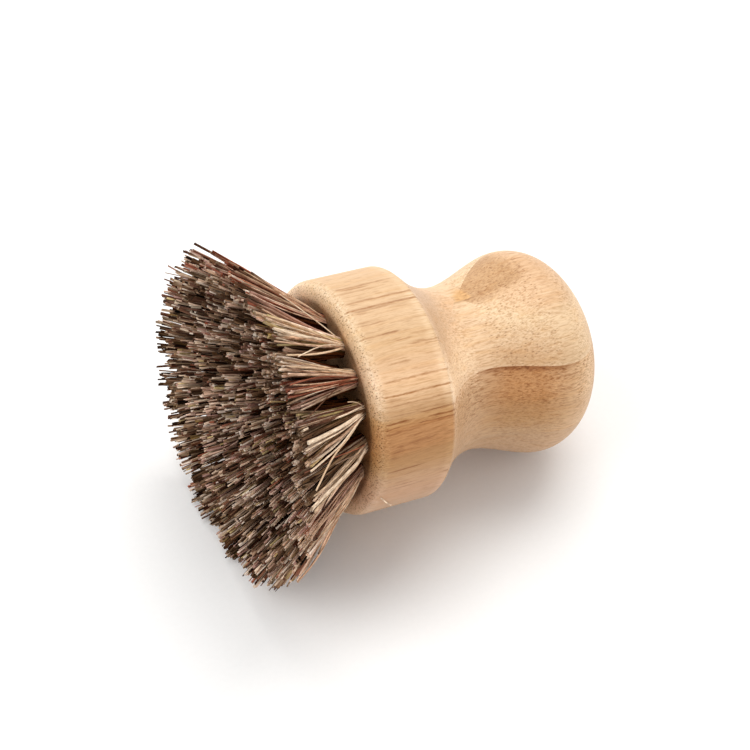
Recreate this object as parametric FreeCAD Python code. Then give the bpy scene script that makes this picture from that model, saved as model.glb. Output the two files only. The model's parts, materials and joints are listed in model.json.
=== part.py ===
import FreeCAD, Part
import os
import math

os.makedirs("parts", exist_ok=True)

# ---------------------------------------------------------------- driving dimensions (mm)
# "a" runs along the axis of the turned handle: 0 at the flat bristle face, + toward the knob.
collar_r = 26.0            # collar radius (52 mm across)
collar_len = 18.04         # face to the sharp corner of the rear edge, before it is rounded
face_round = 3.0           # rounding of the collar's front edge
rear_round = 1.0           # rounding of the collar's rear edge
flare_slope = 0.92         # the shoulder behind the collar falls this much per mm of length
# waist and knob, points of the turned outline (a, radius)
outline = [(21.8, 22.50), (26.2, 19.72), (31.5, 18.58), (37.5, 19.62), (43.5, 21.75),
           (49.4, 23.08), (54.9, 21.55), (59.6, 16.75), (63.1, 9.10), (64.9, 0.0)]

# laminated boards: glue planes run parallel to the axis
board_pitch = 8.4          # board thickness
first_glue_line = 18.6     # distance of the outermost glue plane from the axis
board_normal_phi = -50.0   # direction of the stack round the axis, degrees

# bristle head
face_to_tips = 21.0        # free length of the bristles
tip_disc_r = 36.5          # radius of the trimmed disc of tips
hole_d = 4.4               # drilled hole for each tuft
hole_depth = 9.0           # along the hole, to the shoulder of the drill point
drill_point = 118.0        # degrees
shank_r = 2.1              # packed fibres inside a hole
shank_depth = 8.7
gap = 0.30                 # space left between neighbouring tufts at the tips
# hole circles (radius of the circle of hole centres, on the face)
ring_outer_r, ring_middle_r, ring_inner_r = 18.95, 12.7, 6.4
# the holes are drilled aslant, so that the tufts spread outward
lean_outer, lean_middle, lean_inner = 25.0, 17.0, 8.0
# angles of the outer tufts round the axis (slightly uneven, as drilled by hand)
outer_phi = [-56.0, -31.0, -8.5, 11.5, 34.5, 56.0, 80.5, 105.5,
             130.25, 152.75, 175.0, 197.0, 219.0, 240.5, 262.0, 283.0]
middle_count, middle_phi0 = 11, -20.0
inner_count, inner_phi0 = 5, 5.0
# borders between the rings of tufts at the tips
tip_r_outer_in, tip_r_middle_in, tip_r_inner_in = 27.5, 16.5, 6.0

# flat metal anchors that pin the folded tufts
anchor_len, anchor_high, anchor_thick = 5.4, 1.5, 0.5
anchor_depth = 6.6         # along the hole, from the face to the near edge of the anchor

# lying pose: the handle axis falls toward the knob, until the knob and the bristle edge both rest
tilt = 10.45               # degrees
phi_up = -38.5             # direction round the axis that ends up uppermost, degrees


# ---------------------------------------------------------------- helpers
def radial(phi):
    """unit vector square to the axis; x is the axis, z the uppermost direction"""
    b = math.radians(phi - phi_up)
    return FreeCAD.Vector(0, -math.sin(b), math.cos(b))


def at(a, r, phi):
    return radial(phi) * r + FreeCAD.Vector(a, 0, 0)


def ring_cells(angles):
    """for each tuft: (own angle, lower border angle, upper border angle)"""
    n = len(angles)
    out = []
    for i in range(n):
        prev = angles[i - 1] - (360.0 if i == 0 else 0.0)
        nxt = angles[(i + 1) % n] + (360.0 if i == n - 1 else 0.0)
        out.append((angles[i], (angles[i] + prev) / 2.0, (angles[i] + nxt) / 2.0))
    return out


# ---------------------------------------------------------------- turned handle
slope = math.hypot(1.0, flare_slope)
tx, ty = 1.0 / slope, flare_slope / slope
bend = math.atan(flare_slope)
cut_back = rear_round * math.tan(bend / 2.0)
c1 = FreeCAD.Vector(collar_len - cut_back, 0, collar_r)
c2 = FreeCAD.Vector(collar_len + cut_back * tx, 0, collar_r - cut_back * ty)
cm = FreeCAD.Vector(collar_len - cut_back + rear_round * math.sin(bend / 2.0), 0,
                    collar_r - rear_round + rear_round * math.cos(bend / 2.0))

f1 = FreeCAD.Vector(0, 0, collar_r - face_round)
f2 = FreeCAD.Vector(face_round, 0, collar_r)
fm = FreeCAD.Vector(face_round * (1 - math.sqrt(0.5)), 0, collar_r - face_round * (1 - math.sqrt(0.5)))

curve_points = [c2] + [FreeCAD.Vector(a, 0, r) for a, r in outline]
along = [0.0]
for i in range(1, len(curve_points)):
    along.append(along[-1] + (curve_points[i] - curve_points[i - 1]).Length)
curve = Part.BSplineCurve()
curve.interpolate(Points=curve_points, Parameters=along,
                  InitialTangent=FreeCAD.Vector(tx, 0, -ty),
                  FinalTangent=FreeCAD.Vector(0, 0, -1), Scale=False)
o = FreeCAD.Vector(0, 0, 0)
apex = FreeCAD.Vector(outline[-1][0], 0, 0)
wire = Part.Wire([
    Part.makeLine(o, f1),
    Part.Arc(f1, fm, f2).toShape(),
    Part.makeLine(f2, c1),
    Part.Arc(c1, cm, c2).toShape(),
    curve.toShape(),
    Part.makeLine(apex, o),
])
turned = Part.Face(wire).revolve(o, FreeCAD.Vector(1, 0, 0), 360)
if turned.Volume < 0:
    turned.reverse()

# ---------------------------------------------------------------- tufts and their holes
middle_phi = [middle_phi0 + i * 360.0 / middle_count for i in range(middle_count)]
inner_phi = [inner_phi0 + i * 360.0 / inner_count for i in range(inner_count)]
rings = [
    ("outer", ring_outer_r, lean_outer, ring_cells(outer_phi), tip_r_outer_in, tip_disc_r),
    ("middle", ring_middle_r, lean_middle, ring_cells(middle_phi), tip_r_middle_in, tip_r_outer_in),
    ("inner", ring_inner_r, lean_inner, ring_cells(inner_phi), tip_r_inner_in, tip_r_middle_in),
]
SIDES = 24
SHARP = 4.0                # how square the tip cells are


def ray_power(t):
    c, s = math.cos(t), math.sin(t)
    k = (abs(c) ** SHARP + abs(s) ** SHARP) ** (-1.0 / SHARP)
    return c * k, s * k


def hole_axis(phi, lean):
    """unit vector from the mouth of a hole toward its bottom, and the two directions square to it"""
    g = math.radians(lean)
    ax = FreeCAD.Vector(1, 0, 0)
    er = radial(phi)
    inward = ax * math.cos(g) - er * math.sin(g)
    square = er * math.cos(g) + ax * math.sin(g)
    return inward, square, radial(phi + 90.0)


def shank_wires(base_r, phi, lean):
    """outline of the packed fibres at the bottom of a hole and where they leave the face"""
    inward, square, et = hole_axis(phi, lean)
    mouth = at(0, base_r, phi)
    deep, face = [], []
    for i in range(SIDES):
        t = 2 * math.pi * i / SIDES
        p = mouth + square * (shank_r * math.cos(t)) + et * (shank_r * math.sin(t))
        deep.append(p + inward * shank_depth)
        face.append(p - inward * (p.x / inward.x))
    return deep, face


def tuft_solid(base_r, phi, lean, lo, hi, r_in, r_out, edge_out):
    deep, face = shank_wires(base_r, phi, lean)
    tip = []
    rc = (r_in + r_out) / 2.0
    hr = (r_out - r_in) / 2.0
    for i in range(SIDES):
        u, v = ray_power(2 * math.pi * i / SIDES)
        r = rc + (hr - (gap / 2.0 if (u < 0 or not edge_out) else 0.0)) * u
        side = (hi - phi) if v > 0 else (phi - lo)
        half = side - math.degrees(gap / 2.0 / r)
        tip.append(at(-face_to_tips, r, phi + half * v))
    wires = [Part.makePolygon(w + [w[0]]) for w in (deep, face, tip)]
    return Part.makeLoft(wires, True, True)


def centre_tuft():
    r_tip = tip_r_inner_in - gap / 2.0
    deep, face = shank_wires(0.0, 0.0, 0.0)
    tip = [at(-face_to_tips, r_tip, 360.0 * i / SIDES) for i in range(SIDES)]
    wires = [Part.makePolygon(w + [w[0]]) for w in (deep, face, tip)]
    return Part.makeLoft(wires, True, True)


def hole(base_r, phi, lean):
    inward = hole_axis(phi, lean)[0]
    mouth = at(0, base_r, phi)
    start = mouth - inward * 3.0
    h = Part.makeCylinder(hole_d / 2.0, hole_depth + 3.0, start, inward)
    point_len = hole_d / 2.0 / math.tan(math.radians(drill_point / 2.0))
    tip = Part.makeCone(hole_d / 2.0, 0, point_len, mouth + inward * hole_depth, inward)
    return h.fuse(tip).removeSplitter()


def anchor(base_r, phi, lean):
    inward, square, et = hole_axis(phi, lean)
    c = at(0, base_r, phi) + inward * anchor_depth
    p = [c - et * (anchor_len / 2) - square * (anchor_thick / 2),
         c + et * (anchor_len / 2) - square * (anchor_thick / 2),
         c + et * (anchor_len / 2) + square * (anchor_thick / 2),
         c - et * (anchor_len / 2) + square * (anchor_thick / 2)]
    return Part.Face(Part.makePolygon(p + [p[0]])).extrude(inward * anchor_high)


nodes = {}
holes = []
all_anchors = []
for name, base_r, lean, cells, r_in, r_out in rings:
    group = []
    for i, (phi, lo, hi) in enumerate(cells):
        body = tuft_solid(base_r, phi, lean, lo, hi, r_in, r_out, name == "outer")
        pin = anchor(base_r, phi, lean)
        holes.append(hole(base_r, phi, lean))
        group.append(pin)
        all_anchors.append(pin)
        nodes["bristle_tuft_%s_%02d" % (name, i + 1)] = body.cut(pin).Solids[0]
    nodes["tuft_anchors_%s_ring" % name] = Part.makeCompound(group)
pin = anchor(0.0, board_normal_phi, 0.0)
holes.append(hole(0.0, 0.0, 0.0))
all_anchors.append(pin)
nodes["bristle_tuft_centre"] = centre_tuft().cut(pin).Solids[0]
nodes["tuft_anchor_centre"] = pin

drilled = turned.cut(Part.makeCompound(holes))
drilled = drilled.cut(Part.makeCompound(all_anchors))

# ---------------------------------------------------------------- boards
nq = radial(board_normal_phi)
side = radial(board_normal_phi + 90.0)


def slab(q_lo, q_hi):
    """everything between two planes that run along the axis"""
    h = q_hi - q_lo
    p0 = FreeCAD.Vector(-5, 0, 0) + nq * q_lo - side * 40
    p1 = p0 + FreeCAD.Vector(80, 0, 0)
    p2 = p1 + side * 80
    p3 = p0 + side * 80
    return Part.Face(Part.makePolygon([p0, p1, p2, p3, p0])).extrude(nq * h)


glue = [40.0] + [first_glue_line - board_pitch * i for i in range(6)] + [-40.0]
for i in range(7):
    piece = drilled.common(slab(glue[i + 1], glue[i]))
    solids = sorted(piece.Solids, key=lambda s: s.CenterOfMass.x)
    if i == 0:
        nodes["bamboo_board_1_collar"] = solids[0]
        nodes["bamboo_board_1_knob"] = solids[-1]
    else:
        nodes["bamboo_board_%d" % (i + 1)] = piece if len(solids) > 1 else solids[0]

# ---------------------------------------------------------------- lay the brush down
turn = FreeCAD.Placement(FreeCAD.Vector(0, 0, 0), FreeCAD.Rotation(FreeCAD.Vector(0, 1, 0), tilt))
lo = [1e9, 1e9, 1e9]
hi = [-1e9, -1e9, -1e9]
for shape in nodes.values():
    shape.Placement = turn.multiply(shape.Placement)
    for v in shape.tessellate(0.02)[0]:
        for k in range(3):
            lo[k] = min(lo[k], v[k])
            hi[k] = max(hi[k], v[k])
move = FreeCAD.Vector(-(lo[0] + hi[0]) / 2.0, -(lo[1] + hi[1]) / 2.0, -lo[2])
for name, shape in nodes.items():
    shape.translate(move)
    shape.exportStep("parts/%s.step" % name)

face_c = turn.multVec(FreeCAD.Vector(0, 0, 0)) + move
tips_c = turn.multVec(FreeCAD.Vector(-face_to_tips, 0, 0)) + move
print("nodes", len(nodes))
print("box", [round(h - l, 3) for h, l in zip(hi, lo)])
print("face centre", [round(c, 4) for c in face_c], "tips centre", [round(c, 4) for c in tips_c])
knob_low = min(v[2] for v in nodes["bamboo_board_6"].tessellate(0.02)[0])
tuft_low = min(v[2] for n, s in nodes.items() if n.startswith("bristle") for v in s.tessellate(0.02)[0])
print("lowest: knob", round(knob_low, 3), "bristles", round(tuft_low, 3))
for name, shape in nodes.items():
    if not shape.isValid() or shape.ShapeType == "Compound" or "board" in name:
        print(name, shape.ShapeType, len(shape.Solids), "valid", shape.isValid(), "vol", round(shape.Volume, 1))
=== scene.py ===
import json
import math
import random

import bpy
import numpy as np
from mathutils import Matrix, Vector

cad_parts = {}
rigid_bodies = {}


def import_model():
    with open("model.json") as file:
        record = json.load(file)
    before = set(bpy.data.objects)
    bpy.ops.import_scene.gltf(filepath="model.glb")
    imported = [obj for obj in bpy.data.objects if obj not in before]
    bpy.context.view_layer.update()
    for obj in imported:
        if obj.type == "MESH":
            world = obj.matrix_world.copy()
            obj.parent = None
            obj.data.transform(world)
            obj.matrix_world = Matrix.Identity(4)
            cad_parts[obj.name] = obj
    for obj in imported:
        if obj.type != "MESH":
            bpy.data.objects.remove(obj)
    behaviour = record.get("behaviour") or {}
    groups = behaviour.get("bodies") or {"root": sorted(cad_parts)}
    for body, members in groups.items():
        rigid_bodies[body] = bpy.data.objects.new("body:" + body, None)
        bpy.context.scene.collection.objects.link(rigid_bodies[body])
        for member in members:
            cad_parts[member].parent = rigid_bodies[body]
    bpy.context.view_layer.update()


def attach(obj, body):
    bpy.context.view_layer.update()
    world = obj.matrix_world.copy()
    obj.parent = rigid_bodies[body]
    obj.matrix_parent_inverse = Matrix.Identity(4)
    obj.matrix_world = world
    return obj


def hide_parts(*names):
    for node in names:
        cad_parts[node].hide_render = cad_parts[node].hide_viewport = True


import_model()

MM = 0.001

# ------------------------------------------------------------------ the brush's own axes
# a: along the handle axis, 0 at the flat bristle face, + toward the knob (mm)
# phi: direction round that axis, degrees
TILT = math.radians(10.45)
PHI_UP = -38.5
FACE = Vector((-18.4633, 0.0741, 31.8314)) * MM
AXIS = Vector((math.cos(TILT), 0.0, -math.sin(TILT)))
UPWARD = Vector((math.sin(TILT), 0.0, math.cos(TILT)))
TIPS = 21.0
TIP_R = 36.5


def radial(phi):
    b = math.radians(phi - PHI_UP)
    return UPWARD * math.cos(b) + Vector((0.0, -1.0, 0.0)) * math.sin(b)


def at(a, r, phi):
    return FACE + AXIS * (a * MM) + radial(phi) * (r * MM)


BOARD_N = radial(-50.0)
BOARD_S = radial(40.0)

# ------------------------------------------------------------------ node helpers


class Tree:
    """small wrapper that keeps the node set-up of a material short"""

    def __init__(self, name):
        self.mat = bpy.data.materials.new(name)
        self.mat.use_nodes = True
        self.t = self.mat.node_tree
        self.t.nodes.clear()
        self.out = self.t.nodes.new("ShaderNodeOutputMaterial")
        self.bsdf = self.t.nodes.new("ShaderNodeBsdfPrincipled")
        self.t.links.new(self.bsdf.outputs["BSDF"], self.out.inputs["Surface"])

    def node(self, kind, **kw):
        n = self.t.nodes.new(kind)
        for k, v in kw.items():
            setattr(n, k, v)
        return n

    def put(self, sock, v):
        if hasattr(v, "is_output"):
            self.t.links.new(v, sock)
        elif v is not None:
            if hasattr(sock.default_value, "__len__"):
                v = tuple(v)
                if len(sock.default_value) == 4 and len(v) == 3:
                    v = v + (1.0,)
            sock.default_value = v

    def math(self, op, a, b=None, c=None, clamp=False):
        n = self.node("ShaderNodeMath", operation=op, use_clamp=clamp)
        self.put(n.inputs[0], a)
        if b is not None:
            self.put(n.inputs[1], b)
        if c is not None:
            self.put(n.inputs[2], c)
        return n.outputs[0]

    def vec(self, op, a, b=None):
        n = self.node("ShaderNodeVectorMath", operation=op)
        self.put(n.inputs[0], a)
        if b is not None:
            self.put(n.inputs[1], b)
        return n.outputs["Value"] if op in ("DOT_PRODUCT", "LENGTH") else n.outputs["Vector"]

    def join(self, x, y, z):
        n = self.node("ShaderNodeCombineXYZ")
        for i, v in enumerate((x, y, z)):
            self.put(n.inputs[i], v)
        return n.outputs[0]

    def noise(self, vec, scale=1.0, detail=2.0, rough=0.5, distort=0.0):
        n = self.node("ShaderNodeTexNoise", noise_dimensions="3D")
        self.put(n.inputs["Vector"], vec)
        self.put(n.inputs["Scale"], scale)
        self.put(n.inputs["Detail"], detail)
        self.put(n.inputs["Roughness"], rough)
        self.put(n.inputs["Distortion"], distort)
        return n.outputs["Fac"]

    def cells(self, vec, scale=1.0, random=1.0):
        n = self.node("ShaderNodeTexVoronoi", voronoi_dimensions="3D", feature="F1")
        self.put(n.inputs["Vector"], vec)
        self.put(n.inputs["Scale"], scale)
        self.put(n.inputs["Randomness"], random)
        return n.outputs["Distance"], n.outputs["Color"]

    def remap(self, v, a, b, c=0.0, d=1.0, smooth=False):
        n = self.node("ShaderNodeMapRange", clamp=True)
        if smooth:
            n.interpolation_type = "SMOOTHSTEP"
        self.put(n.inputs["Value"], v)
        self.put(n.inputs["From Min"], a)
        self.put(n.inputs["From Max"], b)
        self.put(n.inputs["To Min"], c)
        self.put(n.inputs["To Max"], d)
        return n.outputs["Result"]

    def ramp(self, v, stops):
        """a colour by value; stops is a list of (value, colour) in rising order"""
        lo, hi = stops[0][0], stops[-1][0]
        n = self.node("ShaderNodeValToRGB")
        e = n.color_ramp.elements
        while len(e) < len(stops):
            e.new(0.5)
        for k, (at_, col) in enumerate(stops):
            e[k].position = (at_ - lo) / (hi - lo)
            e[k].color = (*col, 1.0)
        self.put(n.inputs[0], self.remap(v, lo, hi))
        return n.outputs[0]

    def mix(self, f, a, b, mode="MIX"):
        n = self.node("ShaderNodeMix", data_type="RGBA", blend_type=mode)
        self.put(n.inputs[0], f)
        self.put(n.inputs[6], a)
        self.put(n.inputs[7], b)
        return n.outputs[2]

    def bump(self, height, strength, distance):
        n = self.node("ShaderNodeBump")
        self.put(n.inputs["Strength"], strength)
        self.put(n.inputs["Distance"], distance)
        self.put(n.inputs["Height"], height)
        return n.outputs["Normal"]


def lin(r, g, b):
    """sRGB 0-255 to the linear colour that the shaders use"""
    def f(c):
        c /= 255.0
        return c / 12.92 if c <= 0.04045 else ((c + 0.055) / 1.055) ** 2.4
    return (f(r), f(g), f(b))


# ------------------------------------------------------------------ bamboo
# single grain lines on the collar: direction, from and to along the axis, half width in
# degrees, strength
LINES = {
    "collar top": [
        (-56.2, 2.5, 17.0, 0.8, 0.55), (-54.5, 2.8, 10.8, 0.9, 0.60), (-52.0, 1.4, 13.0, 0.7, 0.42),
        (-48.5, 3.0, 9.0, 0.5, 0.22), (-46.2, 4.0, 8.5, 0.6, 0.30), (-43.9, 1.8, 18.0, 0.7, 0.60),
        (-39.0, 0.8, 18.0, 0.8, 0.75), (-37.8, 2.5, 12.5, 0.9, 0.45), (-36.3, 1.5, 6.5, 0.6, 0.50),
        (-34.2, 7.0, 13.0, 0.5, 0.20), (-31.3, 1.8, 8.0, 0.5, 0.40), (-29.6, 1.5, 8.5, 0.5, 0.48),
        (-27.6, 9.0, 17.0, 0.5, 0.28), (-25.3, 1.6, 6.0, 0.5, 0.34), (-22.8, 1.2, 12.5, 0.6, 0.66),
        (-20.0, 12.0, 18.0, 0.5, 0.25), (-18.3, 7.8, 14.5, 0.5, 0.52), (-15.3, 11.5, 18.0, 0.5, 0.66),
        (-14.0, 14.5, 18.0, 0.4, 0.45), (-12.8, 15.0, 18.0, 0.4, 0.3), (-10.8, 2.5, 10.5, 0.7, 0.22),
        (-7.9, 4.5, 10.5, 0.5, 0.56)],
    "collar mid": [
        (-3.5, 12.0, 18.0, 0.4, 0.16), (-0.4, 2.4, 18.0, 0.6, 0.62), (4.2, 2.0, 8.0, 0.4, 0.22),
        (6.4, 1.2, 18.0, 0.55, 0.88), (8.2, 1.5, 9.0, 0.4, 0.38), (9.3, 3.0, 16.0, 0.4, 0.26),
        (11.0, 1.6, 18.0, 0.5, 0.48), (13.2, 1.6, 6.5, 0.4, 0.34), (15.0, 8.0, 16.0, 0.4, 0.26),
        (16.6, 8.5, 18.0, 0.55, 0.60)],
    "collar low": [
        (18.6, 1.2, 8.5, 0.6, 0.62), (19.5, 11.5, 18.0, 0.55, 0.62), (21.6, 8.5, 18.0, 0.5, 0.5),
        (21.0, 1.2, 4.0, 0.5, 0.5), (23.6, 1.5, 11.0, 0.5, 0.35), (26.5, 7.5, 14.0, 0.4, 0.3),
        (30.5, 4.0, 13.0, 0.5, 0.3), (33.2, 2.0, 10.0, 0.4, 0.25)],
}


def bamboo(name, seed, collar=None, knob=None, far=None, end=None, lines=None, slope=None,
           spot=False, edge_glint=0.5, grain=1.0, dots=1.0, flecks=0.4, rim=None,
           fade=(32.5, 24.0)):
    """A board: straight grain along the handle axis. collar and knob are its tones across
    the board (by q, mm) on the collar and on the knob, far the same just behind the collar,
    end its tone round the knob's end, paler than the knob: partly the wood's own tone, partly
    painted light on the end. Where the surface leans against the grain the ends of the fibre
    bundles show as dots; along the grain they run out to long lines."""
    t = Tree(name)
    pos = t.node("ShaderNodeTexCoord").outputs["Object"]
    rel = t.vec("SUBTRACT", pos, tuple(FACE))
    a = t.math("MULTIPLY", t.vec("DOT_PRODUCT", rel, tuple(AXIS)), 1000.0)
    q = t.math("MULTIPLY", t.vec("DOT_PRODUCT", rel, tuple(BOARD_N)), 1000.0)
    s = t.math("MULTIPLY", t.vec("DOT_PRODUCT", rel, tuple(BOARD_S)), 1000.0)
    phi = t.math("ADD", t.math("DEGREES", t.math("ARCTAN2", s, q)), -50.0)
    radius = t.math("SQRT", t.math("ADD", t.math("MULTIPLY", s, s), t.math("MULTIPLY", q, q)))
    nrm = t.node("ShaderNodeTexCoord").outputs["Normal"]
    lean = t.vec("DOT_PRODUCT", nrm, tuple(AXIS))           # + faces the knob's end
    lean_abs = t.math("ABSOLUTE", lean)
    facing = t.math("MULTIPLY", lean, -1.0, clamp=True)      # faces the bristle side
    along = t.remap(lean_abs, 0.30, 0.08, 0.0, 1.0, True)    # surface runs with the grain
    leaning = t.math("MAXIMUM", t.remap(facing, 0.04, 0.16, 0.0, 1.0, True),
                     t.remap(lean, 0.15, 0.5, 0.0, 0.10, True))
    steep = t.remap(facing, 0.38, 0.72, 0.0, 1.0, True)

    # slow wander of the grain
    slow = t.join(t.math("MULTIPLY", s, 0.05), t.math("MULTIPLY", q, 0.05),
                  t.math("MULTIPLY_ADD", a, 0.04, seed * 7.3))
    wave = t.math("SUBTRACT", t.noise(slow, 1.0, 1.0), 0.5)
    wave2 = t.math("SUBTRACT", t.noise(t.vec("ADD", slow, (13.1, 4.7, 2.9)), 1.0, 1.0), 0.5)
    sw = t.math("MULTIPLY_ADD", wave, 2.4, s)
    qw = t.math("MULTIPLY_ADD", wave2, 2.0, q)
    # small quiver that roughens the edges of every mark
    quiver = t.noise(t.join(t.math("MULTIPLY", s, 1.6), t.math("MULTIPLY", q, 1.6),
                            t.math("MULTIPLY", a, 0.5)), 1.0, 2.0, 0.6)
    quiver = t.math("SUBTRACT", quiver, 0.5)

    def stretched(k, k_a, off=0.0):
        return t.join(t.math("MULTIPLY", sw, k), t.math("MULTIPLY", qw, k),
                      t.math("MULTIPLY_ADD", a, k_a, off + seed * 3.1))

    def channel(colour, i):
        n = t.node("ShaderNodeSeparateColor")
        t.put(n.inputs[0], colour)
        return n.outputs[i]

    patch = t.noise(stretched(0.30, 0.03), 1.0, 3.0, 0.6)
    band = t.noise(stretched(0.75, 0.03, 4.0), 1.0, 3.0, 0.6)
    streak = t.noise(stretched(2.1, 0.08, 9.0), 1.0, 3.0, 0.65)
    hair = t.noise(stretched(4.6, 0.32, 2.0), 1.0, 2.0, 0.6)
    weave = t.noise(stretched(3.6, 1.1, 7.0), 1.0, 2.0, 0.55)

    # tones across the board, their borders blurred by the grain
    qq = t.math("MULTIPLY_ADD", t.math("SUBTRACT", streak, 0.5), 3.2, q)
    qq = t.math("MULTIPLY_ADD", t.math("SUBTRACT", patch, 0.5), 3.0, qq)
    behind = t.remap(a, 17.6, 18.8, 0.0, 1.0, True)
    if collar and knob:
        col = t.mix(behind, t.ramp(qq, collar), t.ramp(qq, knob))
    else:
        col = t.ramp(qq, collar or knob)
    if far:
        f = t.math("MULTIPLY", behind, t.remap(a, fade[0], fade[1], 0.0, 1.0))
        col = t.mix(f, col, t.ramp(qq, far))
    if end:
        # partly painted light: the knob's end is blended toward a paler tone
        f = t.math("MINIMUM", t.remap(a, 43.0, 55.0), t.remap(a, 56.0, 59.5, 1.0, 0.45))
        col = t.mix(f, col, end)
    if slope:
        # the leaning cut over the knob's shoulder is darker; it fades out toward the end
        off = t.math("ABSOLUTE", t.math("ADD", t.math("MULTIPLY_ADD", quiver, 14.0, phi), 63.0))
        f = t.remap(off, 29.0, 17.0, 0.0, 1.0, True)
        f = t.math("MULTIPLY", f, t.remap(t.math("MULTIPLY_ADD", quiver, 5.0, a), 49.0, 44.5,
                                          0.0, 1.0, True))
        col = t.mix(f, col, slope)
        f = t.math("MULTIPLY", f, t.remap(patch, 0.46, 0.62, 0.0, 0.50))
        col = t.mix(f, col, (0.84, 0.78, 0.70), "MULTIPLY")
    if spot:
        # a small smooth patch of more orange wood at the bottom of the waist
        pq = t.math("MULTIPLY_ADD", quiver, 1.6, phi)
        aq = t.math("MULTIPLY_ADD", quiver, 1.2, a)
        wedge = t.math("MULTIPLY", t.math("ADD", pq, 47.0), 0.17)
        f = t.math("MULTIPLY", t.remap(t.math("ADD", aq, wedge), 29.4, 31.6, 0.0, 1.0, True),
                   t.remap(t.math("SUBTRACT", aq, t.math("MULTIPLY", wedge, 0.4)), 35.6, 34.6,
                           0.0, 1.0, True))
        f = t.math("MULTIPLY", f, t.remap(pq, -46.4, -47.4, 0.0, 1.0, True))
        f = t.math("MULTIPLY", f, t.remap(pq, -66.0, -54.0, 0.0, 1.0, True))
        col = t.mix(f, col, (0.66, 0.385, 0.165))
        f = t.math("MULTIPLY", t.remap(t.math("ABSOLUTE", t.math("ADD", pq, 46.3)), 0.2, 1.1,
                                       1.0, 0.0, True),
                   t.math("MULTIPLY", t.remap(aq, 28.6, 30.0), t.remap(aq, 36.2, 35.0)))
        col = t.mix(t.math("MULTIPLY", f, 0.55), col, (0.62, 0.52, 0.40), "MULTIPLY")
    if rim:
        # a darker, broken line along the upper border of the board on the knob
        f = t.math("MULTIPLY", t.remap(t.math("MULTIPLY_ADD", quiver, 1.1, q), rim - 1.30,
                                       rim - 0.30, 0.0, 1.0, True),
                   t.math("MULTIPLY", t.remap(a, 28.0, 31.5, 0.0, 1.0, True),
                          t.remap(a, 53.0, 48.5, 0.0, 1.0, True)))
        f = t.math("MULTIPLY", f, t.remap(band, 0.38, 0.55, 0.45, 1.0))
        col = t.mix(t.math("MULTIPLY", f, 0.95), col, (0.64, 0.51, 0.40), "MULTIPLY")
    # warmer and paler bands
    col = t.mix(t.remap(band, 0.50, 0.70, 0.0, 0.45), col, (0.95, 0.83, 0.64), "MULTIPLY")
    col = t.mix(t.remap(band, 0.47, 0.28, 0.0, 0.40), col, (1.05, 1.06, 1.08), "MULTIPLY")
    # fine fibres, paler and darker
    col = t.mix(t.remap(hair, 0.52, 0.72, 0.0, 0.55 * grain), col, (1.12, 1.14, 1.16), "MULTIPLY")
    col = t.mix(t.remap(hair, 0.48, 0.28, 0.0, 0.60 * grain), col, (0.76, 0.66, 0.54), "MULTIPLY")
    col = t.mix(t.remap(streak, 0.44, 0.24, 0.0, 0.70 * grain), col, (0.72, 0.60, 0.47), "MULTIPLY")
    short = t.math("MULTIPLY", t.remap(lean_abs, 0.03, 0.16, 0.25, 1.0), grain)
    col = t.mix(t.math("MULTIPLY", t.remap(weave, 0.54, 0.70), t.math("MULTIPLY", short, 0.5)),
                col, (1.13, 1.16, 1.20), "MULTIPLY")
    col = t.mix(t.math("MULTIPLY", t.remap(weave, 0.46, 0.30), t.math("MULTIPLY", short, 0.65)),
                col, (0.72, 0.60, 0.48), "MULTIPLY")

    fleck = t.noise(stretched(2.5, 0.35, 12.0), 1.0, 2.0, 0.6)
    amount = t.remap(a, 17.5, 19.0, flecks * 0.42, flecks)
    if rim:
        amount = t.math("MULTIPLY", amount, t.remap(q, rim - 3.5, rim - 0.5, 0.9, 1.35))
    col = t.mix(t.math("MULTIPLY", t.remap(fleck, 0.53, 0.66), amount, clamp=True), col,
                (0.68, 0.55, 0.42), "MULTIPLY")
    col = t.mix(t.math("MULTIPLY", t.remap(fleck, 0.46, 0.33, 0.0, 0.75), amount, clamp=True), col,
                (1.13, 1.17, 1.20), "MULTIPLY")

    # fibre bundles that run out to lines, each with its own strength and ends
    d1, c1 = t.cells(stretched(1.0, 0.050), 1.0)
    d1 = t.math("MULTIPLY_ADD", quiver, 0.16, d1)
    broken = t.noise(stretched(1.3, 0.16, 6.0), 1.0, 2.0)
    gaps = t.noise(stretched(1.3, 0.065, 6.0), 1.0, 2.0)
    bundle = t.math("MULTIPLY", t.remap(d1, 0.12, 0.32, 1.0, 0.0, True),
                    t.math("MULTIPLY", t.remap(channel(c1, 0), 0.20, 0.85),
                           t.remap(gaps, 0.38, 0.54)))
    # the side whose single lines are set below carries fewer of these
    quiet = t.remap(t.math("ABSOLUTE", phi), 62.0, 80.0, 0.45 if lines else 1.0, 1.0)
    bundle = t.math("MULTIPLY", t.math("MULTIPLY", bundle, quiet), along)
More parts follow.
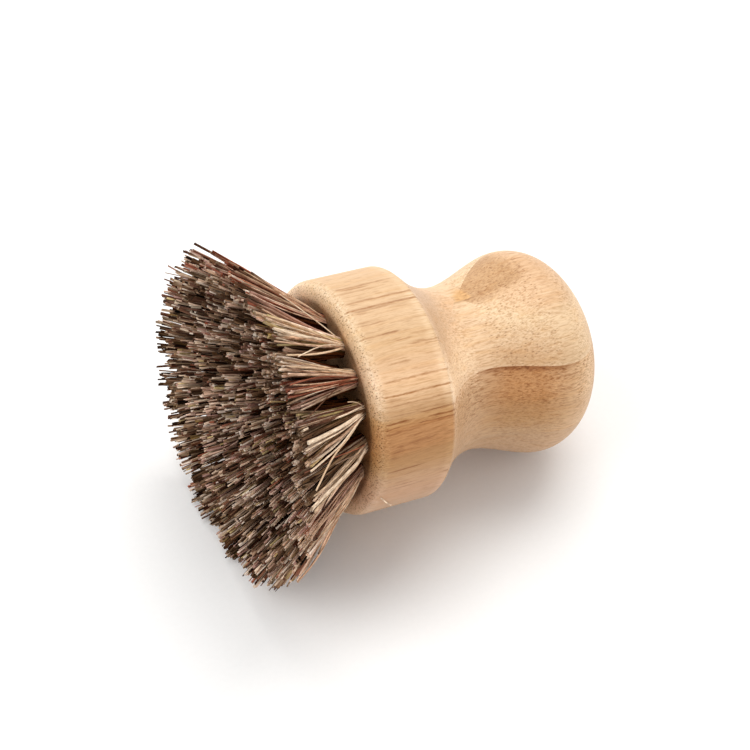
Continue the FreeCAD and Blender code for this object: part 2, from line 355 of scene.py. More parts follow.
    # shorter dashes
    d2, c2 = t.cells(stretched(1.35, 0.22, 5.0), 1.0)
    d2 = t.math("MULTIPLY_ADD", quiver, 0.14, d2)
    dash = t.math("MULTIPLY", t.remap(d2, 0.12, 0.30, 1.0, 0.0, True),
                  t.remap(channel(c2, 1), 0.20, 0.80))
    mark = t.math("MAXIMUM", t.math("MULTIPLY", bundle, 0.85), t.math("MULTIPLY", dash, 0.40))
    if lines:
        p2 = t.math("MULTIPLY_ADD", wave, 2.2, phi)
        p2 = t.math("MULTIPLY_ADD", quiver, 1.2, p2)
        rough_a = t.math("MULTIPLY_ADD", t.math("SUBTRACT", broken, 0.5), 7.0, a)
        on_land = t.remap(radius, 24.8, 25.6, 0.0, 1.0)
        total = None
        for where, a0, a1, half, strength in LINES[lines]:
            off = t.math("ABSOLUTE", t.math("SUBTRACT", p2, where))
            f = t.remap(off, half * 0.15, half * 1.35, min(1.0, strength * 1.3), 0.0, True)
            f = t.math("MULTIPLY", f, t.remap(rough_a, a0, a0 + 1.5, 0.0, 1.0, True))
            if a1 < 17.5:
                f = t.math("MULTIPLY", f, t.remap(rough_a, a1, a1 - 2.5, 0.0, 1.0, True))
            total = f if total is None else t.math("MAXIMUM", total, f)
        grainy = t.remap(t.noise(stretched(3.0, 0.5, 1.0), 1.0, 2.0), 0.30, 0.60, 0.50, 1.0)
        total = t.math("MULTIPLY", t.math("MULTIPLY", total, grainy), on_land)
        mark = t.math("MAXIMUM", mark, total)
    col = t.mix(t.math("MULTIPLY", mark, grain, clamp=True), col, (0.53, 0.35, 0.20), "MULTIPLY")

    # ends of the bundles on the leaning cuts
    d3, c3 = t.cells(stretched(1.95, 1.05, 1.5), 1.0)
    d3 = t.math("MULTIPLY_ADD", quiver, 0.20, d3)
    dot = t.math("MULTIPLY", t.remap(d3, 0.10, 0.44, 1.0, 0.0, True),
                 t.remap(channel(c3, 0), 0.05, 0.75))
    dot = t.math("MULTIPLY", dot, t.math("MULTIPLY", leaning, t.math("SUBTRACT", 1.0, steep)))
    col = t.mix(t.math("MULTIPLY", dot, 0.75 * dots), col, (0.48, 0.35, 0.25), "MULTIPLY")
    # the square cut: a dense fuzz of bundle ends
    d4, c4 = t.cells(stretched(2.3, 1.5, 8.0), 1.0)
    d4 = t.math("MULTIPLY_ADD", quiver, 0.25, d4)
    fuzz = t.math("MULTIPLY", t.remap(d4, 0.16, 0.46, 1.0, 0.0, True),
                  t.remap(channel(c4, 1), 0.0, 0.45))
    fuzz = t.math("MULTIPLY", fuzz, steep)
    # painted light: the square cut facing the bristles is made paler on its upper boards and fades out toward
    # the bottom
    col = t.mix(t.math("MULTIPLY", steep, t.remap(q, -9.0, 3.0)), col, (1.19, 1.31, 1.46), "MULTIPLY")
    col = t.mix(t.math("MULTIPLY", fuzz, t.remap(q, 20.0, 15.0, 0.80, 1.0)), col,
                (0.36, 0.26, 0.17), "MULTIPLY")
    # painted highlight: the rounded front edge of the collar made paler where light catches it
    front_glint = t.math("MULTIPLY", t.remap(a, 0.9, 1.5, 0.0, 1.0, True),
                   t.remap(a, 3.6, 2.2, 0.0, 1.0, True))
    col = t.mix(t.math("MULTIPLY", front_glint, 0.5), col, (1.06, 1.12, 1.18), "MULTIPLY")
    if edge_glint:
        # painted highlight on the collar's front and back edges, made paler where light catches them and broken
        # up by the grain's patches
        edge = t.math("MAXIMUM",
                      t.math("MULTIPLY", t.remap(a, 0.5, 1.5, 0.0, 1.0, True),
                             t.remap(a, 3.2, 1.8, 0.0, 1.0, True)),
                      t.math("MULTIPLY", t.remap(a, 15.6, 17.2, 0.0, 1.0, True),
                             t.remap(a, 20.2, 18.8, 0.0, 1.0, True)))
        edge = t.math("MULTIPLY", edge, t.remap(patch, 0.28, 0.55, 0.6, 1.0))
        col = t.mix(t.math("MULTIPLY", edge, edge_glint), col, (1.20, 1.32, 1.48), "MULTIPLY")
    # painted shade on the square cut among the tufts, darkest inside the ring of outer holes
    inner = t.math("MULTIPLY", t.remap(radius, 23.4, 21.9, 0.0, 1.0, True),
                   t.remap(a, 1.6, 0.6, 0.0, 1.0))
    col = t.mix(t.math("MULTIPLY", inner, 0.9), col, (0.30, 0.23, 0.18), "MULTIPLY")

    t.put(t.bsdf.inputs["Base Color"], col)
    rough = t.math("ADD", t.remap(hair, 0.3, 0.7, 0.40, 0.54),
                   t.math("MULTIPLY", t.math("MAXIMUM", dot, fuzz), 0.25))
    t.put(t.bsdf.inputs["Roughness"], rough)
    t.bsdf.inputs["Specular IOR Level"].default_value = 0.32
    height = t.math("SUBTRACT", t.math("MULTIPLY", hair, 0.35),
                    t.math("ADD", t.math("MULTIPLY", mark, 0.45),
                           t.math("MULTIPLY", t.math("MAXIMUM", dot, fuzz), 0.9)))
    t.put(t.bsdf.inputs["Normal"], t.bump(height, 0.35, 0.00020))
    return t.mat


PEACH = [(-26.0, (0.60, 0.395, 0.238)), (26.0, (0.62, 0.41, 0.248))]
boards = {
    "bamboo_board_1_collar": bamboo(
        "bamboo board 1 collar", 1, edge_glint=0.5, lines="collar top",
        far=[(18.6, (0.70, 0.468, 0.286)), (21.0, (0.63, 0.415, 0.252))],
        collar=[(18.6, (0.78, 0.510, 0.300)), (20.5, (0.73, 0.475, 0.268)),
                (23.0, (0.67, 0.440, 0.242)), (26.0, (0.66, 0.445, 0.260))]),
    "bamboo_board_1_knob": bamboo(
        "bamboo board 1 knob", 2, edge_glint=0.0, slope=(0.55, 0.335, 0.172), spot=True, dots=0.85,
        flecks=0.6,
        knob=[(18.6, (0.75, 0.530, 0.325)), (20.5, (0.72, 0.480, 0.285)),
              (23.5, (0.66, 0.420, 0.240))]),
    "bamboo_board_2": bamboo(
        "bamboo board 2", 3, lines="collar mid", spot=True, edge_glint=0.7, dots=0.85, flecks=0.55,
        fade=(37.0, 26.0),
        # its tone behind the collar is partly the wood's, partly painted light lifting the shade the collar
        # casts on the neck
        far=[(10.2, (0.86, 0.600, 0.385)), (12.5, (0.96, 0.690, 0.445)),
             (15.5, (0.87, 0.605, 0.378)), (18.0, (0.76, 0.508, 0.312)),
             (20.0, (0.56, 0.365, 0.222))],
        end=(0.81, 0.580, 0.358),
        collar=[(9.0, (0.53, 0.290, 0.130)), (10.2, (0.58, 0.330, 0.155)),
                (11.5, (0.65, 0.390, 0.200)), (13.5, (0.78, 0.495, 0.275)),
                (16.5, (0.87, 0.570, 0.335)), (18.6, (0.80, 0.525, 0.312))],
        knob=[(10.2, (0.69, 0.455, 0.270)), (11.2, (0.65, 0.415, 0.230)),
              (12.6, (0.66, 0.415, 0.228)), (14.8, (0.74, 0.515, 0.318)),
              (18.6, (0.77, 0.565, 0.355))]),
    "bamboo_board_3": bamboo(
        "bamboo board 3", 4, lines="collar low", edge_glint=0.5, dots=0.25, flecks=1.1, grain=1.35,
        rim=10.2, end=(0.81, 0.550, 0.325),
        fade=(36.0, 27.0),
        far=[(1.8, (0.60, 0.360, 0.186)), (6.5, (0.61, 0.370, 0.196)),
             (8.5, (0.69, 0.440, 0.252)), (10.2, (0.80, 0.535, 0.330))],
        collar=[(1.8, (0.48, 0.240, 0.088)), (4.0, (0.53, 0.250, 0.090)),
                (7.5, (0.55, 0.262, 0.098)), (9.0, (0.58, 0.300, 0.116)),
                (10.2, (0.62, 0.345, 0.150)), (11.4, (0.65, 0.375, 0.170))],
        knob=[(1.8, (0.50, 0.255, 0.096)), (4.0, (0.54, 0.258, 0.095)),
              (7.0, (0.58, 0.290, 0.118)), (8.4, (0.53, 0.258, 0.102)),
              (10.2, (0.52, 0.255, 0.106))]),
    "bamboo_board_4": bamboo(
        "bamboo board 4", 5, edge_glint=0.5, grain=0.85, dots=0.2, flecks=0.55,
        end=(0.75, 0.490, 0.285), fade=(36.0, 27.0),
        far=[(-6.6, (0.60, 0.380, 0.218)), (1.8, (0.60, 0.360, 0.188))],
        collar=[(-6.6, (0.58, 0.338, 0.190)), (-4.5, (0.57, 0.332, 0.175)),
                (-1.0, (0.51, 0.268, 0.106)), (1.8, (0.49, 0.246, 0.090))],
        knob=[(-6.6, (0.53, 0.328, 0.178)), (-2.0, (0.505, 0.276, 0.114)),
              (1.8, (0.50, 0.252, 0.096))]),
    "bamboo_board_5": bamboo(
        "bamboo board 5", 6, edge_glint=0.5, grain=0.85, dots=0.2, flecks=0.5,
        end=(0.65, 0.420, 0.250), far=[(-15.0, (0.60, 0.390, 0.230)), (-6.6, (0.58, 0.370, 0.215))],
        collar=[(-15.0, (0.60, 0.380, 0.240)), (-10.0, (0.595, 0.352, 0.212)),
                (-6.6, (0.58, 0.338, 0.190))],
        knob=[(-15.0, (0.58, 0.368, 0.220)), (-6.6, (0.525, 0.328, 0.185))]),
    "bamboo_board_6": bamboo(
        "bamboo board 6", 7, far=PEACH, end=(0.62, 0.410, 0.248), edge_glint=0.35, grain=0.9,
        dots=0.5,
        collar=[(-23.4, (0.55, 0.325, 0.175)), (-15.0, (0.61, 0.390, 0.245))],
        knob=[(-23.4, (0.53, 0.310, 0.165)), (-15.0, (0.58, 0.368, 0.220))]),
    "bamboo_board_7": bamboo(
        "bamboo board 7", 8, far=PEACH, end=(0.62, 0.410, 0.248), edge_glint=0.35, grain=0.9,
        dots=0.5,
        collar=[(-26.0, (0.64, 0.420, 0.245)), (-23.4, (0.58, 0.350, 0.200))]),
}
for node, mat in boards.items():
    o = bpy.data.objects[node]
    o.data.materials.clear()
    o.data.materials.append(mat)


# ------------------------------------------------------------------ anchors (inside the wood)
def steel(name):
    t = Tree(name)
    pos = t.node("ShaderNodeTexCoord").outputs["Object"]
    n = t.noise(pos, 2400.0, 3.0)
    t.put(t.bsdf.inputs["Base Color"], t.mix(n, (0.46, 0.45, 0.43), (0.66, 0.65, 0.63)))
    t.bsdf.inputs["Metallic"].default_value = 1.0
    t.put(t.bsdf.inputs["Roughness"], t.remap(n, 0.3, 0.7, 0.28, 0.5))
    t.put(t.bsdf.inputs["Normal"], t.bump(n, 0.2, 0.00003))
    return t.mat


anchor_mat = steel("anchor wire")
for o in bpy.data.objects:
    if o.name.startswith("tuft_anchor"):
        o.data.materials.clear()
        o.data.materials.append(anchor_mat)


# ------------------------------------------------------------------ bristles
def fibre_material():
    t = Tree("plant fibre")
    tone = t.node("ShaderNodeAttribute", attribute_name="tone").outputs["Color"]
    run = t.node("ShaderNodeAttribute", attribute_name="run").outputs["Vector"]
    sep = t.node("ShaderNodeSeparateXYZ")
    t.put(sep.inputs[0], run)
    along, round_, ident = sep.outputs[0], sep.outputs[1], sep.outputs[2]
    fine = t.noise(t.join(t.math("MULTIPLY", along, 0.45), t.math("MULTIPLY", round_, 5.0), ident),
                   1.0, 3.0, 0.6)
    blot = t.noise(t.join(t.math("MULTIPLY", along, 0.30), t.math("MULTIPLY", round_, 1.0),
                          t.math("MULTIPLY", ident, 1.7)), 1.0, 2.0, 0.5)
    col = t.mix(t.remap(fine, 0.30, 0.70, 0.0, 1.0), t.mix(1.0, tone, (0.47, 0.37, 0.29), "MULTIPLY"),
                t.mix(1.0, tone, (1.40, 1.37, 1.30), "MULTIPLY"))
    col = t.mix(t.remap(blot, 0.52, 0.72, 0.0, 0.50), col, (0.44, 0.31, 0.22), "MULTIPLY")
    t.put(t.bsdf.inputs["Base Color"], col)
    t.put(t.bsdf.inputs["Roughness"], t.remap(fine, 0.2, 0.8, 0.74, 0.54))
    t.bsdf.inputs["Specular IOR Level"].default_value = 0.05
    t.bsdf.inputs["Specular Tint"].default_value = (1.0, 0.80, 0.64, 1.0)
    t.put(t.bsdf.inputs["Normal"], t.bump(fine, 0.4, 0.00012))
    return t.mat


FIBRE = fibre_material()

CREAM, STRAW, TAN = lin(246, 227, 205), lin(228, 201, 173), lin(206, 174, 150)
DRAB, PINK, RED = lin(162, 137, 120), lin(184, 146, 131), lin(164, 98, 75)
OLIVE, BROWN, BLACK = lin(178, 158, 112), lin(110, 73, 56), lin(50, 31, 23)
PALETTE = (CREAM, STRAW, TAN, DRAB, PINK, RED, OLIVE, BROWN, BLACK)
COMMON = (0.27, 0.21, 0.13, 0.05, 0.13, 0.03, 0.03, 0.08, 0.07)
PALE = (0.36, 0.27, 0.12, 0.03, 0.09, 0.02, 0.02, 0.05, 0.04)
STRAWY = (0.44, 0.34, 0.08, 0.02, 0.01, 0.00, 0.05, 0.04, 0.02)
MELLOW = (0.26, 0.34, 0.10, 0.03, 0.02, 0.01, 0.19, 0.03, 0.02)
TANNY = (0.23, 0.30, 0.25, 0.05, 0.04, 0.01, 0.05, 0.05, 0.02)
REDDISH = (0.02, 0.04, 0.10, 0.03, 0.20, 0.50, 0.00, 0.08, 0.03)
PINKISH = (0.14, 0.18, 0.18, 0.04, 0.24, 0.10, 0.00, 0.08, 0.04)
BROWNISH = (0.05, 0.11, 0.18, 0.10, 0.15, 0.10, 0.02, 0.23, 0.06)
# painted shade: a dark mix for the shaded gaps at the lower border of tuft 1 and between tufts 5 and 6
GAP_SHADE = (0.01, 0.03, 0.08, 0.04, 0.16, 0.09, 0.03, 0.42, 0.14)
MOSSY = (0.08, 0.20, 0.16, 0.14, 0.01, 0.00, 0.14, 0.20, 0.07)
DUSKY = (0.20, 0.19, 0.13, 0.07, 0.14, 0.03, 0.04, 0.11, 0.09)

OUTER_PHI = [-56.0, -31.0, -8.5, 11.5, 34.5, 56.0, 80.5, 105.5,
             130.25, 152.75, 175.0, 197.0, 219.0, 240.5, 262.0, 283.0]
# the mix of colours in each outer tuft; two mixes where one side of the tuft differs
# the outer side of each outer tuft, from its upper to its lower border: (up to this
# direction, mix of colours, how bright)
# the dim dark-mix entries in tufts 1 and 5 are painted shade in the gaps between fans
OUTER_MIX = [
    [(-58.5, REDDISH, 1.25), (-53.0, PINKISH, 1.1), (-47.0, COMMON, 1.0), (99.0, GAP_SHADE, 0.45)],
    [(-37.5, PINKISH, 1.10), (-25.0, MELLOW, 1.15), (99.0, TANNY, 1.0)],
    [(-12.5, STRAWY, 1.15), (-8.5, TANNY, 1.15), (-2.0, REDDISH, 1.6), (99.0, DUSKY, 0.6)],
    [(7.5, MOSSY, 0.80), (99.0, STRAWY, 1.50)],
    [(25.0, BROWNISH, 0.90), (35.5, STRAWY, 1.45), (40.5, GAP_SHADE, 0.48), (99.0, TANNY, 1.40)],
    [(99.0, TANNY, 1.42)],
    TANNY, DUSKY, DUSKY, COMMON, DUSKY, COMMON, COMMON, DUSKY, COMMON,
    [(-80.0, COMMON, 1.0), (99.0, PINKISH, 1.1)]]
# how often the tips of each outer tuft are dark
OUTER_DARK = [0.30, 0.25, 0.25, 0.22, 0.20, 0.22, 0.30, 0.45, 0.5, 0.5, 0.6, 0.65, 0.65, 0.65,
              0.6, 0.45]
MIDDLE_PHI = [-20.0 + i * 360.0 / 11 for i in range(11)]
INNER_PHI = [5.0 + i * 72.0 for i in range(5)]
SHANK_R = 2.1
SIDES = 6
RINGS = 9


def borders(angles):
    n = len(angles)
    out = []
    for i in range(n):
        prev = angles[i - 1] - (360.0 if i == 0 else 0.0)
        nxt = angles[(i + 1) % n] + (360.0 if i == n - 1 else 0.0)
        out.append(((angles[i] + prev) / 2.0, (angles[i] + nxt) / 2.0))
    return out


def squarish(rho, th, p=3.2):
    c, s = math.cos(th), math.sin(th)
    k = (abs(c) ** p + abs(s) ** p) ** (-1.0 / p)
    return rho * c * k, rho * s * k


class Bundle:
    """gathers the fibres of one tuft into one mesh"""

    def __init__(self):
        self.v, self.f, self.tone, self.run = [], [], [], []

    def fibre(self, path, width, flat, spin, twist, rng, tone, tip_tone, tip_from, ident,
              shade_keep=1.0):
        """path: list of points from inside the hole to the tip; the last argument is how much of its
        colour a fibre keeps deep inside the brush: painted shade that darkens it below its tip"""
        base = len(self.v)
        n = len(path)
        up = Vector((rng.uniform(-1, 1), rng.uniform(-1, 1), rng.uniform(-1, 1)))
        length = 0.0
        whole = sum((path[i + 1] - path[i]).length for i in range(n - 1))
        shape = [rng.uniform(0.82, 1.15) for _ in range(SIDES)]
        for i, p in enumerate(path):
            if i:
                length += (p - path[i - 1]).length
            d = (path[min(i + 1, n - 1)] - path[max(i - 1, 0)]).normalized()
            x = d.cross(up).normalized()
            y = d.cross(x)
            ang = spin + twist * i / n
            x, y = x * math.cos(ang) + y * math.sin(ang), y * math.cos(ang) - x * math.sin(ang)
            w = width * 0.5 * rng.uniform(0.92, 1.08)
            if i < 2:
                w *= 0.85
            k = i / (n - 1)
            f = max(0.0, min(1.0, (k - tip_from) / max(1e-6, 1.0 - tip_from)))
            # painted shade: a fibre darkens from 1.5 mm below its tip, fully by 6.5 mm
            deep = max(0.0, min(1.0, ((whole - length) * 1000.0 - 1.5) / 5.0))
            keep = [1.0 - (1.0 - shade_keep) * deep * w_ for w_ in (0.915, 1.01, 1.05)]
            col = [max(0.0, (tone[c] * (1 - f) + tip_tone[c] * f) * keep[c]) for c in range(3)]
            cut = d * (width * 0.28 * rng.uniform(-1, 1)) if i == n - 1 else None
            for j in range(SIDES):
                b = 2 * math.pi * j / SIDES
                q = p + x * (math.cos(b) * w * shape[j]) + y * (math.sin(b) * w * flat * shape[j])
                if cut is not None:
                    q = q + cut * math.cos(b)
                self.v.append(q)
                self.tone.append(col)
                self.run.append((length * 1000.0, j / SIDES, ident))
        self.f.append(tuple(base + j for j in reversed(range(SIDES))))
        for i in range(n - 1):
            for j in range(SIDES):
                a0 = base + i * SIDES + j
                a1 = base + i * SIDES + (j + 1) % SIDES
                self.f.append((a0, a1, a1 + SIDES, a0 + SIDES))
        # cut end, its own vertices so that the edge stays crisp
        e = len(self.v)
        for j in range(SIDES):
            self.v.append(self.v[base + (n - 1) * SIDES + j].copy())
            self.tone.append([c * 0.52 for c in tip_tone])
            self.run.append((length * 1000.0 + 3.0, 0.5, ident + 2.0))
        self.f.append(tuple(range(e, e + SIDES)))

    def make(self, name, nodes):
        me = bpy.data.meshes.new(name)
        me.from_pydata([tuple(p) for p in self.v], [], self.f)
        me.update()
        t = me.attributes.new("tone", "FLOAT_COLOR", "POINT")
        t.data.foreach_set("color", np.array([(*c, 1.0) for c in self.tone], np.float32).ravel())
        r = me.attributes.new("run", "FLOAT_VECTOR", "POINT")
        r.data.foreach_set("vector", np.array(self.run, np.float32).ravel())
        smooth = np.array([len(f) == 4 for f in self.f], bool)
        me.polygons.foreach_set("use_smooth", smooth)
        me.materials.append(FIBRE)
        o = bpy.data.objects.new(name, me)
        bpy.context.scene.collection.objects.link(o)
        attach(o, "root")
        if nodes:
            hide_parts(*nodes)
        return o


def hermite(p0, p1, m0, m1, s):
    s2, s3 = s * s, s * s * s
    return (p0 * (2 * s3 - 3 * s2 + 1) + m0 * (s3 - 2 * s2 + s)
            + p1 * (-2 * s3 + 3 * s2) + m1 * (s3 - s2))


def reach(phi):
    """how much farther the far side of the brush is splayed"""
    return float(np.interp(phi % 360.0, (150.0, 165.0, 180.0, 205.0, 230.0, 250.0, 280.0, 305.0),
                           (0.0, 1.2, 2.0, 2.0, 1.6, 1.4, 0.9, 0.0)))


def floor_safe(p, clear=0.00035):
    if p.z < clear:
        p = p.copy()
        p.z = clear
    return p


def grow(bundle, start, mouth, tip, rng, out_dir, mix, width, shade=1.0, shade_keep=1.0, dark=0.32,
         bow=1.0):
    w = width
    flat = rng.uniform(0.75, 1.0) if w < 0.45 else rng.uniform(0.45, 0.85)
    run = tip - mouth
    length = run.length
    d = run.normalized()
    side = d.cross(Vector((rng.uniform(-1, 1), rng.uniform(-1, 1), rng.uniform(-1, 1)))).normalized()
    m0 = (out_dir * 0.50 + d * 0.50).normalized() * length
    m1 = (d + side * rng.gauss(0, 0.09) * bow).normalized() * length
    swing = rng.gauss(0, 0.35) * MM * bow
    path = [start]
    for i in range(RINGS - 1):
        s = i / (RINGS - 2)
        p = hermite(mouth, tip, m0, m1, s) + side * (swing * math.sin(math.pi * s))
        path.append(floor_safe(p))
    tone = rng.choices(PALETTE, mix)[0]
    j = min(rng.uniform(0.66, 1.26) * shade, 0.92 / max(tone), 1.12 if tone in (PINK, RED) else 9.0)
    brown = max(0.0, min(1.0, (0.85 - j) / 0.6))      # shaded strands are browner, not greyer
    tone = [c * j * rng.uniform(0.98, 1.02) * (1.0 + g * brown)
            for c, g in zip(tone, (0.24, -0.06, -0.30))]
    roll = rng.random()
    if roll < dark:
        k = rng.uniform(0.10, 0.40)
        tip_tone = [c * k * g for c, g in zip(tone, (1.10, 0.92, 0.76))]
        tip_from = rng.uniform(0.60, 0.92)
    elif roll < dark + 0.14:
        k = rng.uniform(0.45, 0.8)
        tip_tone = [c * k for c in tone]
        tip_from = rng.uniform(0.3, 0.8)
    else:
        k = min(rng.uniform(0.92, 1.12), 0.92 / max(tone))
        tip_tone = [c * k * g for c, g in zip(tone, (0.99, 1.05, 1.19))]   # bleached
        tip_from = 0.5
    bundle.fibre(path, w * MM, flat, rng.uniform(0, 6.28), rng.uniform(-0.8, 0.8), rng, tone,
                 tip_tone, tip_from, rng.uniform(0, 90.0), shade_keep)


def tuft(name, node, base_r, phi, lean, lo, hi, r_in, r_out, count, mix, seed, wide=0.395,
         outer=False, dark=0.26):
    rng = random.Random(seed)
    g = math.radians(lean)
    inward = AXIS * math.cos(g) - radial(phi) * math.sin(g)
    square = radial(phi) * math.cos(g) + AXIS * math.sin(g)
    et = radial(phi + 90.0)
    mouth0 = at(0, base_r, phi)
    rc, hr = (r_in + r_out) / 2.0, (r_out - r_in) / 2.0
    b = Bundle()
    # painted light: all fibres a fifth brighter, and tufts on the upper side brighter still, as if lit from
    # above
    upper_light = 1.20 + 0.34 * max(0.0, math.cos(math.radians(phi + 85.0))) * min(1.0, base_r / 12.0)
    turn = rng.uniform(0, 6.28)
    # fibres cling together in strands, each with its own length and shade
    strands = []
    for k in range(24):
        rho, th = math.sqrt((k + 0.5) / 24), k * 2.399963 + turn * 1.7
        u, v = squarish(rho, th)
        strands.append((u + rng.gauss(0, 0.1), v + rng.gauss(0, 0.1), rng.gauss(0, 0.85),
                        upper_light * rng.choice((0.15, 0.34, 0.78, 1.05, 1.28, 1.58, 1.95))))
    for k in range(count):
        rho = math.sqrt((k + 0.5) / count)
        th = turn + k * 2.399963 + rng.gauss(0, 0.10)
        br = rho * (SHANK_R - 0.10)
        off = square * (br * math.cos(th) * MM) + et * (br * math.sin(th) * MM)
        p = mouth0 + off
        start = p + inward * (3.2 * MM)
        mouth = p - inward * ((p - FACE).dot(AXIS) / inward.dot(AXIS))
        u, v = squarish(rho, th)
        near = min(strands, key=lambda c: (c[0] - u) ** 2 + (c[1] - v) ** 2)
        u += (near[0] - u) * 0.52 + rng.gauss(0, 0.05)
        v += (near[1] - v) * 0.52 + rng.gauss(0, 0.05)
        if base_r:
            r = rc + hr * u
            half = (hi - phi) if v > 0 else (phi - lo)
            ph = phi + half * v
        else:
            r, ph = r_out * math.hypot(u, v), math.degrees(math.atan2(v, u))
        a = -TIPS + near[2] + rng.gauss(0, 0.32)
        roll = rng.random()
        if roll < 0.10:
            a += rng.uniform(0.6, 2.6)          # cut or broken short
        elif roll < 0.13:
            a -= rng.uniform(0.3, 1.0)          # stands a little proud
        if rng.random() < 0.05:                 # leans across its neighbours
            ph += rng.gauss(0, 7.0 * 30.0 / max(r, 12.0))
            r += rng.gauss(0, 2.2)
        r = min(r, TIP_R + abs(rng.gauss(0, 0.4)) + reach(ph))
        if outer:
            a -= 0.4 * reach(ph)
        a = max(a, -TIPS - 1.2)
        width = min(1.0, max(0.25, rng.lognormvariate(math.log(wide), 0.34)))
        if outer:
            r += reach(ph) * max(0.0, u)
        # painted shade deep in the brush: only the outer side of an outer tuft keeps its colour down to the hole
        shade_keep = max(0.07, min(1.0, (u - 0.02) / 0.5)) if outer else 0.07
        colours, glow = mix, 1.0
        if isinstance(mix, list):
            where = ph + rng.gauss(0, 1.3)
            for limit, colours, glow in mix:
                if where < limit:
                    break
            if u < 0.1 and colours not in (STRAWY, MOSSY):
                colours, glow = (PALE if phi < -20.0 or phi > 260.0 else COMMON), 1.0
        # the clean straw-coloured fans have few dark strands on their outer side
        least = 0.70 if (u > 0.1 and near[3] > 0.25 * upper_light
                         and colours in (STRAWY, MELLOW, TANNY)) else 0.0
        grow(b, start, mouth, at(a, max(r, 0.1), ph), rng, -inward, colours, width,
             max(near[3], least) * glow, shade_keep, dark)
    return b.make(name, [node])


COUNT = ((188, 160, 180, 120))
for i, (lo, hi) in enumerate(borders(OUTER_PHI)):
    tuft("bristles_outer_%02d" % (i + 1), "bristle_tuft_outer_%02d" % (i + 1), 18.95,
         OUTER_PHI[i], 25.0, lo, hi, 27.0, TIP_R, COUNT[0], OUTER_MIX[i], 100 + i, 0.445,
         True, OUTER_DARK[i])
for i, (lo, hi) in enumerate(borders(MIDDLE_PHI)):
    tuft("bristles_middle_%02d" % (i + 1), "bristle_tuft_middle_%02d" % (i + 1), 12.7,
         MIDDLE_PHI[i], 17.0, lo, hi, 16.0, 27.9, COUNT[1],
         PALE if i in (0, 9, 10) else (COMMON, DUSKY)[i % 2], 200 + i)
for i, (lo, hi) in enumerate(borders(INNER_PHI)):
    tuft("bristles_inner_%02d" % (i + 1), "bristle_tuft_inner_%02d" % (i + 1), 6.4,
         INNER_PHI[i], 8.0, lo, hi, 5.6, 16.9, COUNT[2], (DUSKY, COMMON)[i % 2], 300 + i)
tuft("bristles_centre", "bristle_tuft_centre", 0.0, 0.0, 0.0, -180.0, 180.0, 0.0, 6.2,
     COUNT[3], COMMON, 400)

